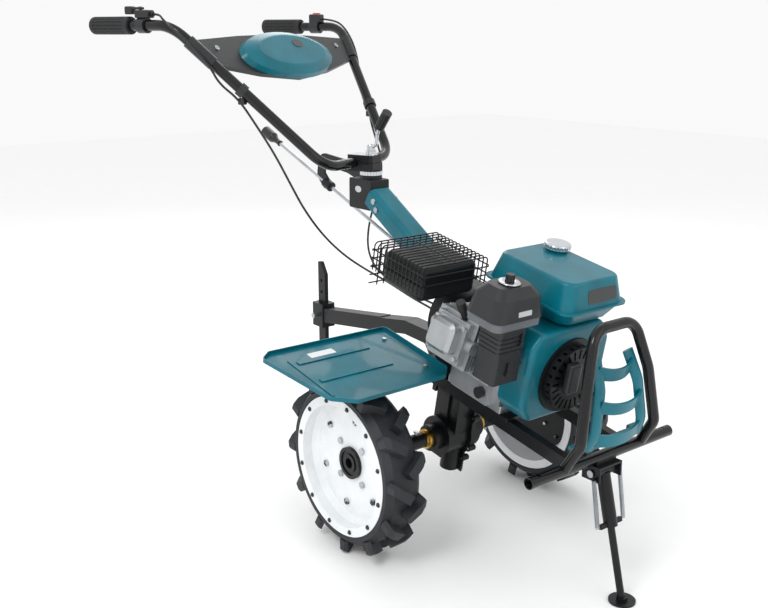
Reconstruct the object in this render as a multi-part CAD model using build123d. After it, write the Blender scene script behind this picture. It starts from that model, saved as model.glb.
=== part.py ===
"""Mini cultivator (two-wheel petrol tiller), modelled in millimetres.

Two working frames are used.  The ground frame has +X forward, +Y to the left, +Z up and its
origin on the ground under the middle of the wheel axle.  The chassis frame is the same frame
moved to the axle and pitched nose-down by PITCH, because the machine leans on its front stand.
Every solid is moved at the end so that the origin is the bottom centre of the whole machine.
"""
from build123d import *
import math
import os

# ---------------------------------------------------------------- driving dimensions
PITCH = 10.3            # nose-down lean of the chassis while it stands on the front stand, degrees
AXLE_Z = 214.0          # height of the wheel axle = radius over the tyre lugs

# wheels
TYRE_R = AXLE_Z
CARCASS_R = 190.0       # tyre radius between the lugs
RIM_R = 166.0           # outer radius of the rim flanges
WELL_R = 148.0          # radius of the rim band that the tyre sits on
TYRE_W = 94.5
WHEEL_OUT = 351.0       # outer face of the wheels from the middle plane
WHEEL_IN = WHEEL_OUT - TYRE_W
DISC_Y = 311.0          # outer face of the dished wheel disc
SHEET = 3.0             # wheel sheet thickness
LUGS = 12               # lugs on each half of the tread
STUDS = 12
STUD_PCD_R = 155.3
HUB_DISC_R = 38.0
HUB_BORE_R = 12.5
INNER_BOLTS = 4
INNER_BOLT_R = 59.0
OUTER_BOLTS = 6
OUTER_BOLT_R = 107.0

# driveline
HEX_AF = 23.0           # hexagonal axle, across flats
HEX_END = 262.0         # half length of the hexagonal axle
SLEEVE_R = 19.0         # hub sleeve over the hexagonal axle
SLEEVE_IN = 98.0        # inner end of the hub sleeves
GEARCASE_R = 50.0
SPLIT_Y = 18.0          # joint plane of the two gearcase castings
CRANK_Z = 311.0         # engine crankshaft above the axle, chassis frame
CLUTCH_R = 92.0
RUN_FIT = 0.06          # radial clearance of the running fits

# chassis frame steel
RAIL_Y = 85.0
RAIL_Z = (160.0, 190.0)
BED_TOP = 198.0
BAR_X = 451.0           # crossbar centre
BAR_Z = 182.0
BAR_HALF = 225.0
BAR_R = 12.75
BAR_WALL = 2.0
BUMPER_R = 12.0
FENDER_Z = 226.0

# engine
CYL_X = 130.0
CYL_TILT = 14.0
TANK_X = (82.0, 332.0)
TANK_Y = (-60.0, 135.0)
TANK_Z = (430.0, 467.0, 527.0)
CAP_AT = (147.0, 92.0)
CAP_R = 31.0
FILTER_X = (205.0, 308.0)
FILTER_Y = (-235.0, -97.0)
GUARD_X = (-102.0, 68.0)
GUARD_Y = (-232.0, -42.0)
GUARD_Z = (394.0, 500.0)
WIRE_R = 1.6

# handlebar: its own frame has the swivel axis at x = y = 0 and points rearwards along -X
HEAD_X = -329.0         # swivel axis in the ground frame
SWIVEL = 20.9           # rest swivel of the handlebar, degrees
TUBE_R = 13.0
TUBE_WALL = 2.0
BAR_LOW = (-36.0, 154.0, 854.0)
BAR_TOP = (-331.0, 362.0, 1195.0)
BAR_END = (-594.0, 349.0, 1195.0)
GRIP_LEN = 130.0
GRIP_R = 21.5

# front stand, ground frame
STAND_PIVOT = (479.0, 0.0, 281.5)
FOOT_X = 552.0
FOOT_R = 29.0

# depth bar, ground frame
DEPTH_X = -556.0
DEPTH_TOP = 548.0
DEPTH_LOW = 300.0

# shift rod, chassis frame
ROD_Y = 30.0
ROD_REAR = (-917.0, 490.0)
ROD_FRONT = (-80.0, 335.0)
ROD_R = 5.0

NODES = {}


# ---------------------------------------------------------------- helpers

# control cables: sheath radius, bosses on the clutch case and routes in the ground frame
CABLE_R = 2.8
BOSS_X = -60.0
BOSS_Z = 299.0
THROTTLE_BOSS_Y = -30.0
STOP_BOSS_Y = -4.0
THROTTLE_ROUTE = [(-572, -475, 1221), (-542, -468, 1221), (-507, -479, 1207), (-465, -434, 1154), (-441,
                                                                                                   -395, 1100),
                  (-441, -373, 1060), (-424, -331, 1023), (-391, -303, 960), (-378, -262, 890), (-374,
                                                                                                 -222, 815),
                  (-371, -182, 742), (-363, -130, 670), (-335, -82, 615), (-288, -45, 580), (-225, -32, 562),
                  (-165, -30, 548), (-112, -31, 537), (-59.7, -30, 528.7), (2.3, -30, 517.5)]
STOP_ROUTE = [(-831, 199, 1217), (-806, 217, 1215), (-780, 239, 1202), (-719, 232, 1154), (-675, 219, 1098),
              (-636, 197, 1037), (-601, 178, 997), (-553, 166, 960), (-520, 148, 930), (-496, 146,
                                                                                        890), (-452, 132,
                                                                                               840),
              (-420, 104, 782), (-406, 68, 725), (-400, 45, 670), (-378, 24, 618), (-330, 6, 582), (-270,
                                                                                                    -2, 560),
              (-205, -4, 548), (-160, -5, 539), (-110, -6, 534), (-59.7, -4, 528.7), (2.3, -4, 517.5)]


def group(shapes):
    """Separate solids that share one node."""
    solids = []
    for shape in shapes:
        solids.extend(shape.solids())
    return Compound(children=solids)


def block(x0, x1, y0, y1, z0, z1, radius=0.0, which=None):
    """A box from its six sides, with rounded edges along one axis or all of them."""
    shape = Pos((x0 + x1) / 2, (y0 + y1) / 2, (z0 + z1) / 2) * Box(x1 - x0, y1 - y0, z1 - z0)
    if radius > 0:
        edges = shape.edges() if which is None else shape.edges().filter_by(which)
        shape = fillet(edges, radius)
    return shape


def rod(start, end, radius):
    """A round bar between two points."""
    a = Vector(*start)
    b = Vector(*end)
    return Plane(origin=a, z_dir=(b - a).normalized()) * extrude(Circle(radius), (b - a).length)



def bent(points, radii, section):
    """A bar of the given section swept along straight runs joined by tangent arcs."""
    path = FilletPolyline(*points, radius=radii)
    start = Plane(origin=path @ 0, z_dir=path % 0)
    return sweep(start * section, path=path)


def largest_arcs(points):
    """Corner radii that leave a tenth of the shorter run straight at each corner."""
    radii = []
    for a, b, c in zip(points, points[1:], points[2:]):
        run_in = Vector(*b) - Vector(*a)
        run_out = Vector(*c) - Vector(*b)
        turn = math.radians(run_in.get_angle(run_out))
        radii.append(0.45 * min(run_in.length, run_out.length) / math.tan(turn / 2))
    return radii


def cable(points, radius):
    radii = largest_arcs(points)
    run_length = sum((Vector(*b) - Vector(*a)).length for a, b in zip(points, points[1:]))
    print("cable arcs", [round(r) for r in radii], "runs add up to", round(run_length))
    return bent(points, radii, Circle(radius))


def bolt(at, direction, head_af, head_h, shank_r, shank_len):
    """A hexagon bolt whose head sits at the point, with the shank running backwards."""
    plane = Plane(origin=Vector(*at), z_dir=Vector(*direction).normalized())
    head = plane * extrude(RegularPolygon(head_af / 2, 6, major_radius=False), head_h)
    head = chamfer(head.faces().sort_by(Axis(plane.origin, plane.z_dir))[-1].edges(), head_h * 0.12)
    shank = plane * extrude(Circle(shank_r), -shank_len)
    return head + shank


def ring_points(count, radius, start=0.0):
    for k in range(count):
        angle = start + 2 * math.pi * k / count
        yield radius * math.sin(angle), radius * math.cos(angle), angle


def chassis(shape):
    """From the chassis frame to the ground frame."""
    return Pos(0, 0, AXLE_Z) * Rot(0, PITCH, 0) * shape


def chassis_point(x, y, z):
    a = math.radians(PITCH)
    return (x * math.cos(a) + z * math.sin(a), y, AXLE_Z - x * math.sin(a) + z * math.cos(a))



def bar(shape):
    """From the handlebar frame to the ground frame."""
    return Pos(HEAD_X, 0, 0) * Rot(0, 0, SWIVEL) * shape



def wheel(shape):
    """From the axle frame of the left wheel to the ground frame."""
    return Pos(0, 0, AXLE_Z) * shape


def right(shape):
    return mirror(shape, about=Plane.XZ)


def add(name, shape):
    NODES[name] = shape


# ---------------------------------------------------------------- wheels
def lathe(points):
    """A ring about the axle from (radius, y) corners."""
    face = make_face(Polyline(*[(r, y, 0) for r, y in points], close=True))
    return revolve(face, Axis.Y)


def rim():
    outer = WHEEL_OUT - 0.6
    inner = WHEEL_IN + 0.6
    band = WELL_R - SHEET
    return lathe([
        (20.0, DISC_Y - SHEET), (20.0, DISC_Y), (band - 14, DISC_Y), (band, DISC_Y + 14), (band, outer),
        (RIM_R, outer), (RIM_R, outer - SHEET), (WELL_R, outer - SHEET), (WELL_R, inner + SHEET),
        (RIM_R, inner + SHEET), (RIM_R, inner), (band, inner), (band, DISC_Y + 10),
        (band - 15, DISC_Y - SHEET),
    ])


def tyre_lug(angle, side):
    """One tread bar, slanted from the middle of the tread to one shoulder."""
    bar_solid = Rot(0, 0, 38 * side) * Box(22, 62, 50)
    placed = Pos(0, (WHEEL_OUT + WHEEL_IN) / 2 + side * TYRE_W / 4, TYRE_R - 8) * bar_solid
    return Rot(0, math.degrees(angle), 0) * placed


def tyre():
    mid = (WHEEL_OUT + WHEEL_IN) / 2
    half = TYRE_W / 2
    seat = WELL_R + 0.1
    inside = half - 0.6 - SHEET - 0.1
    carcass = lathe([
        (seat, mid - inside), (RIM_R + 0.4, mid - inside), (RIM_R + 2, mid - half), (CARCASS_R - 12,
                                                                                     mid - half),
        (CARCASS_R, mid - half + 16), (CARCASS_R, mid + half - 16), (CARCASS_R - 12, mid + half),
        (RIM_R + 2, mid + half), (RIM_R + 0.4, mid + inside), (seat, mid + inside),
    ])
    lugs = []
    step = 2 * math.pi / LUGS
    for k in range(LUGS):
        lugs.append(tyre_lug(math.pi + k * step, 1))
        lugs.append(tyre_lug(math.pi + (k + 0.5) * step, -1))
    tread = lathe([
        (CARCASS_R - 14, mid - half), (TYRE_R - 6, mid - half), (TYRE_R, mid - half + 14),
        (TYRE_R, mid + half - 14), (TYRE_R - 6, mid + half), (CARCASS_R - 14, mid + half),
    ])
    body = carcass
    for lug in lugs:
        body = body + (lug & tread)
    return body


def hex_prism(across, y0, y1):
    shape = extrude(RegularPolygon(across / 2, 6, major_radius=False), y1 - y0)
    return Pos(0, y1, 0) * Rot(90, 0, 0) * shape


def round_y(radius, y0, y1, x=0.0, z=0.0):
    return rod((x, y0, z), (x, y1, z), radius)


def hub():
    """Flange plate behind the disc, sleeve over the axle and the dark cap in front."""
    plate = round_y(122.0, DISC_Y - SHEET - 8, DISC_Y - SHEET)
    sleeve = round_y(SLEEVE_R, SLEEVE_IN, DISC_Y)
    cap = round_y(HUB_DISC_R, DISC_Y, DISC_Y + 9) - round_y(30.0, DISC_Y + 6, DISC_Y + 10)
    collar = round_y(22.0, DISC_Y + 1, DISC_Y + 9)
    body = plate + sleeve + cap + collar
    body = body - hex_prism(HEX_AF + 0.3, SLEEVE_IN - 1, HEX_END + 2)
    body = body - round_y(HUB_BORE_R, HEX_END + 1, DISC_Y + 10)
    return body - wheel_bolt_holes()


def wheel_bolt_places():
    for x, z, _ in ring_points(INNER_BOLTS, INNER_BOLT_R, math.radians(45)):
        yield x, z
    for x, z, _ in ring_points(OUTER_BOLTS, OUTER_BOLT_R, math.radians(10)):
        yield x, z


def wheel_bolt_holes():
    holes = [round_y(4.3, DISC_Y - SHEET - 9, DISC_Y + 1, x, z) for x, z in wheel_bolt_places()]
    return Part() + holes


def wheel_bolts():
    bolts = []
    for x, z in wheel_bolt_places():
        bolts.append(bolt((x, DISC_Y, z), (0, 1, 0), 15.0, 5.5, 4.2, 17.0))
    return bolts


def studs():
    """Black plastic plugs through the outer rim flange."""
    plugs = []
    for x, z, _ in ring_points(STUDS, STUD_PCD_R, math.radians(14)):
        head = round_y(5.5, WHEEL_OUT - 0.6, WHEEL_OUT + 3.4, x, z)
        stem = round_y(2.5, WHEEL_OUT - 3.6, WHEEL_OUT - 0.6, x, z)
        plugs.append(chamfer(head.faces().sort_by(Axis.Y)[-1].edges(), 2.2) + stem)
    return plugs


def stud_holes():
    return Part() + [round_y(2.5, WHEEL_OUT - 5, WHEEL_OUT, x, z)
                     for x, z, _ in ring_points(STUDS, STUD_PCD_R, math.radians(14))]


def make_wheels():
    rim_left = rim() - wheel_bolt_holes() - stud_holes()
    tyre_left = tyre()
    hub_left = hub()
    bolts = group(wheel_bolts())
    plugs = group(studs())
    for side, turn in (("left", lambda s: s), ("right", right)):
        add(f"rim_{side}", wheel(turn(rim_left)))
        add(f"tyre_{side}", wheel(turn(tyre_left)))
        add(f"hub_{side}", wheel(turn(hub_left)))
    add("wheel_bolts", wheel(group([bolts, right(bolts)])))
    add("rim_studs", wheel(group([plugs, right(plugs)])))
    add("hex_axle", wheel(hex_prism(HEX_AF, -HEX_END, HEX_END)))
    collar = round_y(24.5, 79.0, 90.0) + round_y(20.0, 90.0, 96.0)
    collar = collar - hex_prism(HEX_AF + 0.3, 70, 100)
    add("axle_collars", wheel(group([collar, right(collar)])))
    pin = rod((0, 0, -27), (0, 0, 27), 3.4) + Pos(0, 0, 27) * Cylinder(6, 3)
    pins = [Pos(0, y, 0) * pin for y in (118.0, -118.0)]
    holes = [rod((0, y, -40), (0, y, 40), 3.6) for y in (118.0, -118.0)]
    for name in ("hub_left", "hub_right", "hex_axle"):
        NODES[name] = NODES[name] - wheel(group(holes))
    add("hub_pins", wheel(group(pins)))


# ---------------------------------------------------------------- gearcase and driveline
def gearcase_outer(grow=0.0):
    drum = round_y(GEARCASE_R + grow, -52, 52)
    column = block(-36 - grow, 46 + grow, -34, 34, 0, 205)
    sump = rod((10, 0, 0), (10, 0, -97 - grow / 3), 24 + grow)
    return drum + column + sump


def gearcase_cavity():
    drum = round_y(44.0, -30, 44)
    column = block(-28, 38, -27, 27, 0, 230)
    sump = rod((10, 0, 0), (10, 0, -88), 17.0)
    return drum + column + sump


def make_gearcase():
    body = gearcase_outer()
    body = body + round_y(33.0, 50, 78) + round_y(33.0, -78, -50)
    flange = gearcase_outer(11.0) & block(-120, 120, SPLIT_Y - 7, SPLIT_Y + 7, -140, 205)
    top = block(-48, 58, -46, 46, 193, 205)
    ribs = [block(-4, 14, y0, y1, -60, 195) for y0, y1 in ((-40, -33), (33, 40))]
    body = body + flange + top + ribs[0] + ribs[1]
    body = body - gearcase_cavity()
    body = body - round_y(26.0, -66, 66) - round_y(21.0, -90, 90)
    places = [(-49, 60), (57, 60), (-49, 130), (57, 130), (-52, -20), (57, -24), (-24, -56), (40, -62)]
    for x, z in places:
        body = body + round_y(8.0, SPLIT_Y - 10, SPLIT_Y + 10, x, z)
    for x, z in places:
        body = body - round_y(3.0, SPLIT_Y - 20, SPLIT_Y + 20, x, z)
    body = body - rod((10, 0, -80), (10, 0, -120), 6.0)
    half = block(-200, 200, -200, SPLIT_Y, -200, 300)
    add("gearcase_right", chassis(body & half))
    add("gearcase_left", chassis(body - half))
    bolts = [bolt((x, SPLIT_Y + 10, z), (0, 1, 0), 10.0, 4.0, 3.0, 19.0) for x, z in places]
    add("gearcase_bolts", chassis(group(bolts)))
    plug = rod((10, 0, -85), (10, 0, -97), 6.0) + bolt((10, 0, -97), (0, 0, -1), 14.0, 8.0, 5.0, 4.0)
    add("drain_plug", chassis(plug))
    bearing = round_y(26.0, 52, 66) - round_y(16.0, 50, 70)
    sleeve = round_y(16.0 - RUN_FIT, 51, 67) - hex_prism(HEX_AF + 0.3, 50, 70)
    add("axle_bearings", chassis(group([bearing, right(bearing)])))
    add("bearing_sleeves", wheel(group([sleeve, right(sleeve)])))
    crown = round_y(40.0, 14, 24) - round_y(22.0, 13, 19) + round_y(19.0, 24, 40)
    crown = crown - hex_prism(HEX_AF + 0.3, 0, 60)
    add("crown_gear", wheel(crown))


def cone_x(x0, x1, r0, r1):
    return Pos((x0 + x1) / 2, 0, CRANK_Z) * Rot(0, 90, 0) * Cone(r0, r1, x1 - x0)


def round_x(radius, x0, x1, y=0.0, z=CRANK_Z):
    return rod((x0, y, z), (x1, y, z), radius)


def housing_bolt_places():
    for k in range(5):
        angle = math.radians(60 * k - 120)
        yield (CLUTCH_R + 7) * math.sin(angle), CRANK_Z + (CLUTCH_R + 7) * math.cos(angle)


def make_driveline():
    shaft = rod((0, 0, 27), (0, 0, 262), 8.0)
    pinion = Pos(0, 0, 28.5) * Cone(12.5, 10.5, 17)
    upper = Pos(0, 0, 271) * Cone(16.0, 30.0, 18)
    add("drive_shaft", chassis(shaft + pinion + upper))
    bearings = []
    for z0, z1 in ((60.0, 74.0), (180.0, 194.0)):
        ring = block(-28, 38, -27, 27, z0, z1) - rod((0, 0, z0 - 1), (0, 0, z1 + 1), 8.0 + RUN_FIT)
        bearings.append(ring)
    add("shaft_bearings", chassis(group(bearings)))
    plates = round_x(46.0, 38, 40.5) + round_x(46.0, 44, 46.5)
    add("input_shaft", chassis(round_x(9.0, -44, 48) + cone_x(-34, -20, 15.0, 19.0) + plates))
    housing = round_x(CLUTCH_R, -45, 60) + block(-48, 58, -46, 46, 205, 260) + round_x(CLUTCH_R + 13, 48, 60)
    housing = housing - round_x(CLUTCH_R - 8, -37, 61) - rod((0, 0, 200), (0, 0, 262), 31.0)
    housing = housing - round_x(16.0, -50, -30)
    for y, z in housing_bolt_places():
        housing = housing - round_x(3.0, 47, 61, y, z)
    add("clutch_housing", chassis(housing))
    add("input_bearing", chassis(round_x(16.0, -45, -37) - round_x(9.0 + RUN_FIT, -46, -36)))
    basket = round_x(56.0, 36, 55) - round_x(50.0, 35, 51) + round_x(20.0, 55, 60)
    add("clutch_basket", chassis(basket - round_x(10.0, 50, 61)))
    bolts = [bolt((48, y, z), (-1, 0, 0), 10.0, 5.0, 3.0, 11.0) for y, z in housing_bolt_places()]
    add("housing_bolts", chassis(group(bolts)))


# ---------------------------------------------------------------- chassis steel
def make_frame():
    rails = []
    for side in (-1, 1):
        outer = block(-44, BAR_X - 8, side * RAIL_Y - 10, side * RAIL_Y + 10, *RAIL_Z)
        inner = block(-50, BAR_X - 12, side * RAIL_Y - 7.5, side * RAIL_Y + 7.5, RAIL_Z[0] + 2.5,
                      RAIL_Z[1] - 2.5)
        cup = round_y(BAR_R, -BAR_HALF, BAR_HALF, BAR_X, BAR_Z)
        rails.append(outer - inner - cup)
    add("frame_rails", chassis(group(rails)))
    bed = block(-60, 262, -104, 104, RAIL_Z[1], BED_TOP, 3, Axis.Z)
    bed = bed - block(-50, 60, -50, 50, 180, 210) - block(100, 220, -50, 50, 180, 210)
    for x, y in engine_bolt_places():
        bed = bed - rod((x, y, 180), (x, y, 210), 4.3)
    add("engine_bed", chassis(bed))
    bar_tube = round_y(BAR_R, -BAR_HALF, BAR_HALF, BAR_X, BAR_Z)
    bar_tube = bar_tube - round_y(BAR_R - BAR_WALL, -BAR_HALF - 1, BAR_HALF + 1, BAR_X, BAR_Z)
    for side in (-1, 1):
        hole_y = side * (BAR_HALF - 26)
        bar_tube = bar_tube - rod((BAR_X, hole_y, BAR_Z - 20), (BAR_X, hole_y, BAR_Z + 20), 4.3)
    add("crossbar", chassis(bar_tube))
    left = [(BAR_X + 2, 124, BAR_Z + 4), (477, 118, 250), (446, 96, 370), (410, 62, 470)]
    route = [(x, -y, z) for x, y, z in left] + [(x, y, z) for x, y, z in reversed(left)]
    bumper = bent(route, [30, 120, 46, 46, 120, 30], Circle(BUMPER_R))
    bumper = bumper - round_y(BAR_R, -BAR_HALF, BAR_HALF, BAR_X, BAR_Z)
    add("bumper", chassis(bumper))
    make_ladder()


LADDER = ((418, 50, 408), (452, 60, 352), (474, 74, 262), (466, 78, 226))


def make_ladder():
    """Teal guard with two upright rails and three bowed rungs, between the bumper legs."""
    upright = bent([(x, y, z) for x, y, z in LADDER], [60, 70], Ellipse(6, 16))
    rungs = []
    for (x, y, z), depth in (((432, 54, 384), 28), ((464, 64, 322), 26), ((471, 76, 252), 28)):
        bow = ThreePointArc((x, -y, z), (x + 16, 0, z - 8), (x, y, z))
        section = Plane(origin=bow @ 0, x_dir=(0, 0, 1), z_dir=bow % 0) * Rectangle(depth, 5)
        rungs.append(sweep(section, path=bow))
    guard = upright + right(upright) + rungs[0] + rungs[1] + rungs[2]
    tab = block(452, 468, -84, 84, 222, 232) + block(440, 462, 78, 108, 222, 230) + block(440, 462, -108,
                                                                                          -78, 222, 230)
    add("ladder_guard", chassis(guard + tab))
    screws = []
    for y in (96, -96):
        screws.append(bolt((452, y, 230), (0, 0, 1), 8.0, 4.0, 2.5, 6.0))
    holes = group([rod((452, y, 215), (452, y, 235), 2.6) for y in (-96, 96)])
    NODES["ladder_guard"] = NODES["ladder_guard"] - chassis(holes)
    add("ladder_screws", chassis(group(screws)))


def engine_bolt_places():
    return [(82, -62), (82, 62), (212, -62), (212, 62)]


# ---------------------------------------------------------------- fenders
def fender():
    """Right fender: a pressed plate with a folded edge, a rounded outer front corner and ribs."""
    outline = Polyline([(-176, -110), (62, -110), (92, -140), (96, -392), (60, -440), (-156, -476),
                        (-180, -446)],
                       close=True)
    plate = extrude(make_face(outline), 2.0)
    plate = fillet(plate.edges().filter_by(Axis.Z), 14)
    lip_out = extrude(offset(plate.faces().sort_by(Axis.Z)[0], 0), 10)
    lip_in = Pos(0, 0, -1) * extrude(offset(plate.faces().sort_by(Axis.Z)[0], -2.0), 12)
    skirt = mirror(lip_out - lip_in, about=Plane.XY)
    body = plate + skirt
    for x in (-110, -20):
        rib = block(x - 7, x + 7, -410, -210, 1.0, 4.5, 2.0, Axis.Z)
        body = body + rib
    body = body + block(-130, 50, -426, -420, 1.0, 4.0)
    return body


def fender_bolt_places():
    return [(-126, -150), (30, -150)]


def make_fenders():
    plate = Pos(0, 0, FENDER_Z) * fender()
    holes = [rod((x, y, 190), (x, y, 250), 3.2) for x, y in fender_bolt_places()]
    plate = plate - group(holes)
    arm = block(-58, 50, -104, -60, BED_TOP, BED_TOP + 4)
    riser = block(-58, 50, -108, -104, BED_TOP, 217)
    ledge = block(-140, 50, -166, -104, 214.0, 217.0)
    support = arm + riser + ledge - group(holes)
    screws = [bolt((x, y, 228.0), (0, 0, 1), 10.0, 5.0, 3.1, 16.0) for x, y in fender_bolt_places()]
    for side, turn in (("right", lambda s: s), ("left", right)):
        add(f"fender_{side}", chassis(turn(plate)))
    add("fender_brackets", chassis(group([support, right(support)])))
    bolts = group(screws)
    add("fender_bolts", chassis(group([bolts, right(bolts)])))


# ---------------------------------------------------------------- engine
def cyl_place(shape):
    """From a frame whose +Z is the cylinder axis to the chassis frame."""
    return Pos(CYL_X, 0, CRANK_Z) * Rot(90 - CYL_TILT, 0, 0) * shape


def make_crankcase():
    case = block(68, 232, -104, 104, 205, 395, 12, Axis.X)
    foot = block(62, 238, -104, 104, BED_TOP, 216, 4, Axis.Z)
    front = round_x(100, 226, 240)
    rear = round_x(84, 60, 72)
    case = case + foot + front + rear
    deck = cyl_place(Pos(0, 0, 95) * Box(128, 122, 46))
    case = case + deck
    case = case - block(80, 222, -92, 92, 216, 383, 8, Axis.X)
    case = case - cyl_place(Pos(0, 0, 100) * Cylinder(34.5, 90))
    case = case - round_x(26, 55, 81) - round_x(26, 220, 245)
    case = case - cyl_place(Pos(0, 0, 158.5) * Box(140, 150, 81))
    for x, y in engine_bolt_places():
        case = case - rod((x, y, 190), (x, y, 217), 4.3)
    sump_side = block(92, 206, -122, -100, 206, 262, 6, Axis.X)
    case = case + sump_side - rod((190, -130, 236), (190, -90, 236), 9.0)
    add("crankcase", chassis(case))
    cap = rod((190, -92, 236), (190, -122, 236), 8.6) + rod((190, -122, 236), (190, -134, 236), 13)
    add("oil_filler_cap", chassis(cap))
    bearings = [round_x(26, 60, 72) - round_x(12.5 + RUN_FIT, 50, 80),
                round_x(26, 226, 240) - round_x(12.5 + RUN_FIT, 220, 245)]
    add("crank_bearings", chassis(group(bearings)))
    bolts = []
    for x, y in engine_bolt_places():
        bolts.append(bolt((x, y, 190), (0, 0, -1), 13.0, 6.0, 4.0, 24.0))
    add("engine_bolts", chassis(group(bolts)))


def make_crank():
    shaft = round_x(12.5, 61, 330)
    stub = round_x(9.9, 51, 61)
    pin_z = 24.0
    webs = [block(x, x + 14, -24, 24, CRANK_Z - 40, CRANK_Z + 34, 10, Axis.X) for x in (104, 142)]
    shaft = shaft - block(118, 142, -30, 30, CRANK_Z - 30, CRANK_Z + 20)
    pin = round_x(14, 112, 148, 0, CRANK_Z + pin_z - 10)
    add("crankshaft", chassis(shaft + stub + webs[0] + webs[1] + pin))
    fan = round_x(60, 248, 262) + round_x(86, 248, 251)
    for y, z, angle in ring_points(16, 74):
        blade = Pos(261, 0, 0) * Box(22, 2.5, 22)
        fan = fan + Pos(0, y, CRANK_Z + z) * Rot(-math.degrees(angle) + 25, 0, 0) * blade
    fan = fan - round_x(12.5, 240, 300)
    add("flywheel_fan", chassis(fan))
    cup = round_x(34, 274, 292) - round_x(30, 277, 293) + round_x(18, 262, 277)
    add("starter_cup", chassis(cup - round_x(12.5, 250, 300)))


def make_cylinder():
    fins = []
    for k in range(5):
        fins.append(Pos(0, 0, 123 + 8 * k) * Box(126, 116, 3.5))
    barrel = Pos(0, 0, 139) * Cylinder(42, 42)
    barrel = barrel + fins + Pos(0, 0, 119.5) * Box(110, 100, 3)
    barrel = barrel - Pos(0, 0, 139) * Cylinder(34.5, 44)
    add("cylinder_barrel", chassis(cyl_place(barrel)))
    head = Pos(0, 0, 178) * Box(100, 96, 36)
    fin_box = [Pos(0, 0, z) * Box(122, 112, 3.5) for z in (164, 172, 180)]
    head = head + fin_box - Pos(0, 0, 160) * Cylinder(30, 16)
    intake = Pos(50, 0, 177) * Rot(0, 90, 0) * Cylinder(16, 34)
    exhaust = Pos(-54, 14, 177) * Rot(0, 90, 0) * Cylinder(16, 28)
    head = head + intake + exhaust
    plug_hole = Pos(18, 46, 178) * Rot(-48, 0, 0) * Cylinder(7.1, 60)
    add("cylinder_head", chassis(cyl_place(head - plug_hole)))
    flange = fillet((Pos(0, 0, 198.5) * Box(100, 88, 5)).edges().filter_by(Axis.Z), 16)
    dome = Pos(0, 4, 215) * Box(76, 70, 30)
    dome = fillet(dome.edges().filter_by(Axis.Z), 16)
    dome = chamfer(dome.faces().sort_by(Axis.Z)[-1].edges(), 8)
    cover = flange + dome - Pos(0, 4, 206) * Box(60, 54, 30)
    holes = [Pos(x, y, 198) * Cylinder(3.2, 12) for x in (-42, 42) for y in (-35, 35)]
    cover = cover - holes
    add("valve_cover", chassis(cyl_place(cover)))
    screws = []
    for x in (-42, 42):
        for y in (-35, 35):
            screws.append(cyl_place(bolt((x, y, 201), (0, 0, 1), 10.0, 6.0, 3.0, 5.0)))
    add("valve_cover_bolts", chassis(group(screws)))
    plug = Pos(18, 46, 178) * Rot(-48, 0, 0) * (Pos(0, 0, 10) * Cylinder(7.0, 36) + Pos(0, 0,
                                                                                        30) * Cylinder(8.5, 6))
    add("spark_plug", chassis(cyl_place(plug - Pos(0, 0, 160) * Cylinder(31, 16))))
    boot = Pos(18, 46, 178) * Rot(-48, 0, 0) * (Pos(0, 0, 44) * Cylinder(10.5, 22))
    add("plug_boot", chassis(cyl_place(boot)))
    piston = Pos(0, 0, 122) * (Cylinder(34.4, 44) - Pos(0, 0, -8) * Cylinder(29, 34))
    add("piston", chassis(cyl_place(piston)))


def tank_layer(inset, z):
    x0, x1 = TANK_X
    y0, y1 = TANK_Y
    plate = RectangleRounded(x1 - x0 - 2 * inset, y1 - y0 - 2 * inset, 28)
    return Pos((x0 + x1) / 2, (y0 + y1) / 2, z) * plate


def tank_body(shrink):
    low, seam, top = TANK_Z
    lower = loft([tank_layer(22 + shrink, low + shrink), tank_layer(2 + shrink, seam)])
    upper = loft([tank_layer(2 + shrink, seam), tank_layer(16 + shrink, top - shrink)])
    if shrink == 0:
        upper = fillet(upper.faces().sort_by(Axis.Z)[-1].edges(), 9)
    return lower + upper


def make_tank():
    _, seam, top = TANK_Z
    x, y = CAP_AT
    tank = tank_body(0) + extrude(tank_layer(-5, seam - 2), 4)
    neck = rod((x, y, top - 12), (x, y, top + 6), 24)
    tank = tank + neck - tank_body(3)
    tank = tank - rod((x, y, top - 14), (x, y, top + 7), 20)
    legs = [block(px - 8, px + 8, py - 10, py + 10, 395, 436) for px, py in ((110, 30), (214, 30))]
    tank = tank + (legs[0] + legs[1] - tank_body(3))
    add("fuel_tank", chassis(tank))
    skirt = rod((x, y, top + 6.0), (x, y, top + 18), CAP_R)
    skirt = fillet(skirt.faces().sort_by(Axis.Z)[-1].edges(), 5)
    plug = rod((x, y, top - 6), (x, y, top + 8), 19.4)
    knurl = Part() + [Pos(x + a, y + b, top + 11) * Cylinder(1.8, 8) for a, b, _ in ring_points(24, CAP_R)]
    add("fuel_cap", chassis(skirt + plug - knurl))


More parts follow.
